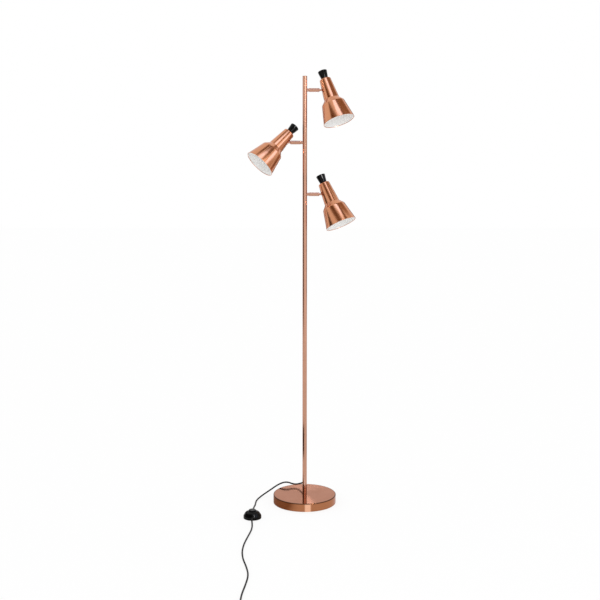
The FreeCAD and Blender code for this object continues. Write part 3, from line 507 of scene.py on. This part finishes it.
def turned_shell(name, profile, place, body, finishes, inner_from=None, sides=192, closed=False):
    """Surface of revolution: the point at angle a on profile point (r, z) is
    origin + x r cos a + y r sin a + z-axis z. U is the angle times the mean radius and V the
    length along the profile. Rows from inner_from on take the second finish."""
    origin, axes = place
    angle = np.linspace(0, 2 * math.pi, sides, endpoint=False)
    r, z = profile[:, 0], profile[:, 1]
    ring = np.stack([np.cos(angle), np.sin(angle)], 1)
    flat = r[:, None, None] * ring[None]
    heights = np.broadcast_to(z[:, None, None], flat.shape[:2] + (1,))
    local = np.concatenate([flat, heights], 2).reshape(-1, 3)
    verts = local @ np.array(axes) + np.array(origin)
    rows = len(profile) if closed else len(profile) - 1
    i, j = np.meshgrid(np.arange(rows), np.arange(sides), indexing="ij")
    i2, j2 = (i + 1) % len(profile), (j + 1) % sides
    faces = np.stack([i * sides + j, i * sides + j2, i2 * sides + j2, i2 * sides + j], 2)
    faces = faces.reshape(-1, 4)
    length = np.concatenate([[0], np.cumsum(np.linalg.norm(np.diff(profile, axis=0), axis=1))])
    length = np.append(length, length[-1] + np.linalg.norm(profile[-1] - profile[0]))
    mean = float(r.mean())
    step = 2 * math.pi / sides * mean
    u = np.stack([j * step, (j + 1) * step, (j + 1) * step, j * step], 2)
    v = np.stack([length[i], length[i], length[i + 1], length[i + 1]], 2)
    mesh = bpy.data.meshes.new(name)
    mesh.from_pydata(verts.tolist(), [], faces.tolist())
    layer = mesh.uv_layers.new(name="profile")
    layer.data.foreach_set("uv", np.stack([u, v], 3).reshape(-1))
    for finish in finishes:
        mesh.materials.append(finish)
    if inner_from is not None:
        mesh.polygons.foreach_set("material_index", (i.reshape(-1) >= inner_from).astype(np.int32))
    piece = bpy.data.objects.new(name, mesh)
    bpy.context.scene.collection.objects.link(piece)
    finish_mesh(piece)
    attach(piece, body)
    return piece


def finish_mesh(piece, edge_angle=40.0):
    """Merges points that meet, turns every face outwards and shades smooth up to an edge."""
    work = bmesh.new()
    work.from_mesh(piece.data)
    bmesh.ops.remove_doubles(work, verts=work.verts, dist=1e-7)
    bmesh.ops.recalc_face_normals(work, faces=work.faces)
    work.to_mesh(piece.data)
    work.free()
    piece.data.polygons.foreach_set("use_smooth", np.ones(len(piece.data.polygons), bool))
    piece.data.set_sharp_from_angle(angle=math.radians(edge_angle))


def head_place(name):
    """Origin and axes of a head: its pivot, x away from the pole, y along the tilt axis and z
    up the shade's own axis."""
    pivot = np.array(JOINTS[name + "_head_tilt"]["pos_m"], float)
    y = -np.array(JOINTS[name + "_head_tilt"]["axis"], float)
    z = -np.array(MOUNTS[name + "_socket"]["axis"], float)
    x = np.cross(y, z)
    return pivot, np.stack([x, y, z])


def from_neck(place):
    """The same axes with the origin in the middle of the neck's top."""
    pivot, axes = place
    return pivot + (axes[0] * PIVOT_INSET + axes[2] * PIVOT_DROP) * MM, axes


def shown(paint):
    """1 for the rays that show the background: the camera's own and those of metal and glass."""
    camera, glossy, clear = paint.outputs(paint.node("ShaderNodeLightPath"), "Is Camera Ray",
                                          "Is Glossy Ray", "Is Transmission Ray")
    return (camera + glossy + clear).maths("MINIMUM", 1.0)


def ground():
    """Pale floor that the lamp stands on: white in the picture, with a faint shadow kept. Metal
    also sees a bright fan on it before the disc and a brown field at the left, which give the
    disc's rim its stripe: the fan lies where x over the distance from its apex is small."""
    mesh = bpy.data.meshes.new("floor")
    corners = [(x * FLOOR_REACH, y * FLOOR_REACH, 0)
               for x, y in ((-1, -1), (1, -1), (1, 1), (-1, 1))]
    mesh.from_pydata(corners, [], [(0, 1, 2, 3)])
    material = bpy.data.materials.new("floor_white")
    material.use_nodes = True
    paint = Paint(material.node_tree)
    matt = paint.node("ShaderNodeBsdfDiffuse", None, {"Color": (0.95, 0.95, 0.95, 1.0)})
    x, y, _ = paint.split(paint.place("Object"))
    ahead = 0.0 - y
    near = 1.0 - ((x * x + y * y) ** 0.5).step(*FIELD_END)
    fan = x / (ahead - FAN_APEX).maths("MAXIMUM", 0.01)
    fan = fan.step(*FAN_SIDES[0]) * (1.0 - fan.step(*FAN_SIDES[1])) * near * ahead.step(*FAN_START)
    left = ((0.0 - x) / ahead.maths("MAXIMUM", 0.02)).step(*FIELD_LEFT) * near
    mirrored, = paint.outputs(paint.node("ShaderNodeLightPath"), "Is Glossy Ray")
    colour = paint.blend(left * mirrored, (1.0, 1.0, 1.0), BROWN)
    colour = paint.blend(fan * mirrored, colour, RIM_LIGHT)
    glow = paint.node("ShaderNodeEmission", None, {"Color": colour, "Strength": 1.0})
    share = shown(paint) * FLOOR_GLOW
    mixed = paint.node("ShaderNodeMixShader", None, {0: share, 1: matt, 2: glow})
    paint.node("ShaderNodeOutputMaterial", None, {0: mixed})
    mesh.materials.append(material)
    floor = bpy.data.objects.new("floor", mesh)
    bpy.context.scene.collection.objects.link(floor)


def studio():
    """The world is plain white light. One soft lamp and the cards, which only reflections see,
    give the metal its stripes."""
    world = bpy.data.worlds.new("studio")
    bpy.context.scene.world = world
    world.use_nodes = True
    paint = Paint(world.node_tree)
    sky = paint.node("ShaderNodeBackground", None,
                     {"Color": (1.0, 1.0, 1.0, 1.0), "Strength": 1.0})
    paint.node("ShaderNodeOutputWorld", None, {0: sky})
    for number, card in enumerate(CARDS):
        add_card(number, *card)
    lamp = bpy.data.lights.new("key", "AREA")
    lamp.shape = "DISK"
    lamp.size = KEY_SIZE
    lamp.energy = KEY_POWER
    key = bpy.data.objects.new("key", lamp)
    key.location = KEY_PLACE
    aim = Vector(KEY_AIM) - Vector(KEY_PLACE)
    key.rotation_euler = aim.to_track_quat("-Z", "Y").to_euler()
    bpy.context.scene.collection.objects.link(key)


def towards(azimuth, elevation):
    """Unit vector: azimuth 0 is the camera's side and 90 the right as the camera sees it."""
    a, e = np.radians(azimuth), np.radians(elevation)
    return np.stack([np.sin(a) * np.cos(e), -np.cos(a) * np.cos(e), np.sin(e)], -1)


def add_card(number, ring, half_width, ends, colour, route):
    """Ribbon with soft edges on a sphere, each card a little inside the one before. Its middle
    line runs through the route's directions, and its sides lie square to that line."""
    name = "card_%02d" % number
    stretches = []
    for start, end in zip(route, route[1:]):
        a, b = towards(*start), towards(*end)
        share = np.linspace(0, 1, CARD_POINTS)[:, None]
        stretches.append(a + (b - a) * share)
    line = np.vstack(stretches)
    line /= np.linalg.norm(line, axis=1)[:, None]
    line = line[np.concatenate([[True], np.linalg.norm(np.diff(line, axis=0), axis=1) > 1e-6])]
    side = np.cross(line, np.gradient(line, axis=0))
    side *= math.tan(math.radians(half_width)) / np.linalg.norm(side, axis=1)[:, None]
    middle, reach = np.array([0.0, 0.0, ring[0]]), ring[1] * (1.0 - CARD_STEP * number)
    rows = [line - side, line + side]
    rows = [middle + reach * row / np.linalg.norm(row, axis=1)[:, None] for row in rows]
    count = len(line)
    mesh = bpy.data.meshes.new(name)
    faces = [(i, i + 1, count + i + 1, count + i) for i in range(count - 1)]
    mesh.from_pydata(np.vstack(rows).tolist(), [], faces)
    along = np.linspace(0, 1, count)
    layer = mesh.uv_layers.new(name="card")
    layer.data.foreach_set("uv", np.array([(along[v % count], float(v >= count))
                                           for face in faces for v in face]).ravel())
    material = bpy.data.materials.new(name)
    material.use_nodes = True
    paint = Paint(material.node_tree)
    u, v, _ = paint.split(paint.place("UV"))
    soft = v.step(0.0, CARD_SIDE) * (1.0 - v.step(1.0 - CARD_SIDE, 1.0))
    soft = soft * u.step(0.0, ends) * (1.0 - u.step(1.0 - ends, 1.0))
    clear = paint.node("ShaderNodeBsdfTransparent")
    glow = paint.node("ShaderNodeEmission", None, {"Color": (*colour, 1.0), "Strength": 1.0})
    mixed = paint.node("ShaderNodeMixShader", None, {0: soft, 1: clear, 2: glow})
    paint.node("ShaderNodeOutputMaterial", None, {0: mixed})
    mesh.materials.append(material)
    card = bpy.data.objects.new(name, mesh)
    bpy.context.scene.collection.objects.link(card)
    card.visible_camera = False
    card.visible_diffuse = False
    card.visible_transmission = False
    card.visible_shadow = False


# ---- heads ------------------------------------------------------------------------------
def moved_in(points, wall):
    """The outline moved to its inner side by the wall: each inner corner is where the two
    moved neighbouring lines cross. The ends stay on their own radius and height."""
    p = np.array(points, float)
    along = np.diff(p, axis=0)
    along /= np.linalg.norm(along, axis=1)[:, None]
    start = p[:-1] + np.stack([along[:, 1], -along[:, 0]], 1) * wall
    a, b = along[:-1], along[1:]
    gap = start[1:] - start[:-1]
    reach = (gap[:, 0] * b[:, 1] - gap[:, 1] * b[:, 0]) / (a[:, 0] * b[:, 1] - a[:, 1] * b[:, 0])
    inner = start[:-1] + a * reach[:, None]
    last = start[-1] + along[-1] * ((p[-1, 1] - start[-1, 1]) / along[-1, 1])
    return np.vstack([[p[0, 0], p[0, 1] - wall], inner, last])


def add_shade(name):
    """Spun shade: flat top, tapered neck, flared shoulder and straight skirt, with a turned
    hem at the mouth, sprayed white inside and slotted for the stem."""
    outer = [(STUD_HOLE, 0), (NECK_TOP, 0), (NECK_FOOT, -NECK_LENGTH), (SHOULDER, -SHOULDER_DEPTH),
             (MOUTH, -SHADE_LENGTH)]
    inner = moved_in(outer, SHADE_WALL)
    slope = (MOUTH - SHOULDER) / (SHADE_LENGTH - SHOULDER_DEPTH)
    hem = inner[-1, 0] - (HEM - SHADE_WALL)
    points = [(r, z, c) for (r, z), c in zip(outer, SHADE_ROUNDS)]
    points += [(hem, -SHADE_LENGTH, 0.3), (hem - slope * HEM, -SHADE_LENGTH + HEM, 0.2),
               (inner[-1, 0] - slope * HEM, -SHADE_LENGTH + HEM, 0)]
    outside = len(rounded_profile(points)) - 1
    top, neck, shoulder = SHADE_ROUNDS[1:4]
    inside = (0, top - SHADE_WALL, neck + SHADE_WALL, shoulder - SHADE_WALL)
    points += [(r, z, c) for (r, z), c in list(zip(inner[:-1].tolist(), inside))[::-1]]
    profile = rounded_profile(points)
    piece = turned_shell(name + "_spun_shade", profile, from_neck(head_place(name)), name + "_head",
                         [SHADE_COPPER, ENAMEL], outside - 2, sides=224, closed=True)
    cut_slot(piece, head_place(name))
    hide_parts(name + "_shade")


def cut_slot(piece, place):
    """Cuts the neck with an upright prism whose section is two half circles joined by lines."""
    origin, axes = place
    count = SLOT_POINTS
    angle = np.linspace(0, 2 * math.pi, count, endpoint=False)
    y = SLOT_HALF * np.cos(angle)
    z = SLOT_HALF * np.sin(angle) + np.where(np.sin(angle) >= 0, SLOT_HIGH, SLOT_LOW)
    ends = [np.stack([np.full(count, x), y, z], 1) for x in (SLOT_FROM, SLOT_TO)]
    verts = np.vstack(ends) * MM @ axes + origin
    faces = [(i, (i + 1) % count, count + (i + 1) % count, count + i) for i in range(count)]
    faces += [tuple(range(count - 1, -1, -1)), tuple(range(count, 2 * count))]
    mesh = bpy.data.meshes.new("slot")
    mesh.from_pydata(verts.tolist(), [], faces)
    cutter = bpy.data.objects.new("slot", mesh)
    bpy.context.scene.collection.objects.link(cutter)
    finish_mesh(cutter)
    cut = piece.modifiers.new("slot", "BOOLEAN")
    cut.object = cutter
    cut.solver = "EXACT"
    apply_modifiers(piece)
    bpy.data.objects.remove(cutter)


def apply_modifiers(piece):
    """Puts what the modifiers make into the mesh itself, and removes them."""
    graph = bpy.context.evaluated_depsgraph_get()
    mesh = bpy.data.meshes.new_from_object(piece.evaluated_get(graph), depsgraph=graph,
                                           preserve_all_data_layers=True)
    piece.modifiers.clear()
    piece.data = mesh


def add_knob(name):
    """Flared aiming knob with a low dome: the flare is a cone and the dome part of a sphere."""
    sphere = (KNOB_RIM ** 2 + KNOB_DOME ** 2) / (2 * KNOB_DOME)
    side = [(0, KNOB_LIFT, 0), (KNOB_FOOT, KNOB_LIFT, 0.6), (KNOB_TOP, KNOB_SHOULDER, 1.2),
            (KNOB_RIM, KNOB_SHOULDER, 0)]
    r = np.linspace(KNOB_RIM, 0, 14)[1:] * MM
    z = (np.sqrt(sphere ** 2 - (r / MM) ** 2) - sphere + KNOB_DOME + KNOB_SHOULDER) * MM
    profile = np.vstack([rounded_profile(side), np.stack([r, z], 1)])
    piece = turned_shell(name + "_knob", profile, from_neck(head_place(name)), name + "_head",
                         [FINISHES["black_gloss"]], sides=128)
    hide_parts(name + "_aiming_knob")


# ---- the scene --------------------------------------------------------------------------
add_camera()
declare_cords()
dress_nodes()
for head in HEADS:
    add_shade(head)
    add_knob(head)
ground()
studio()
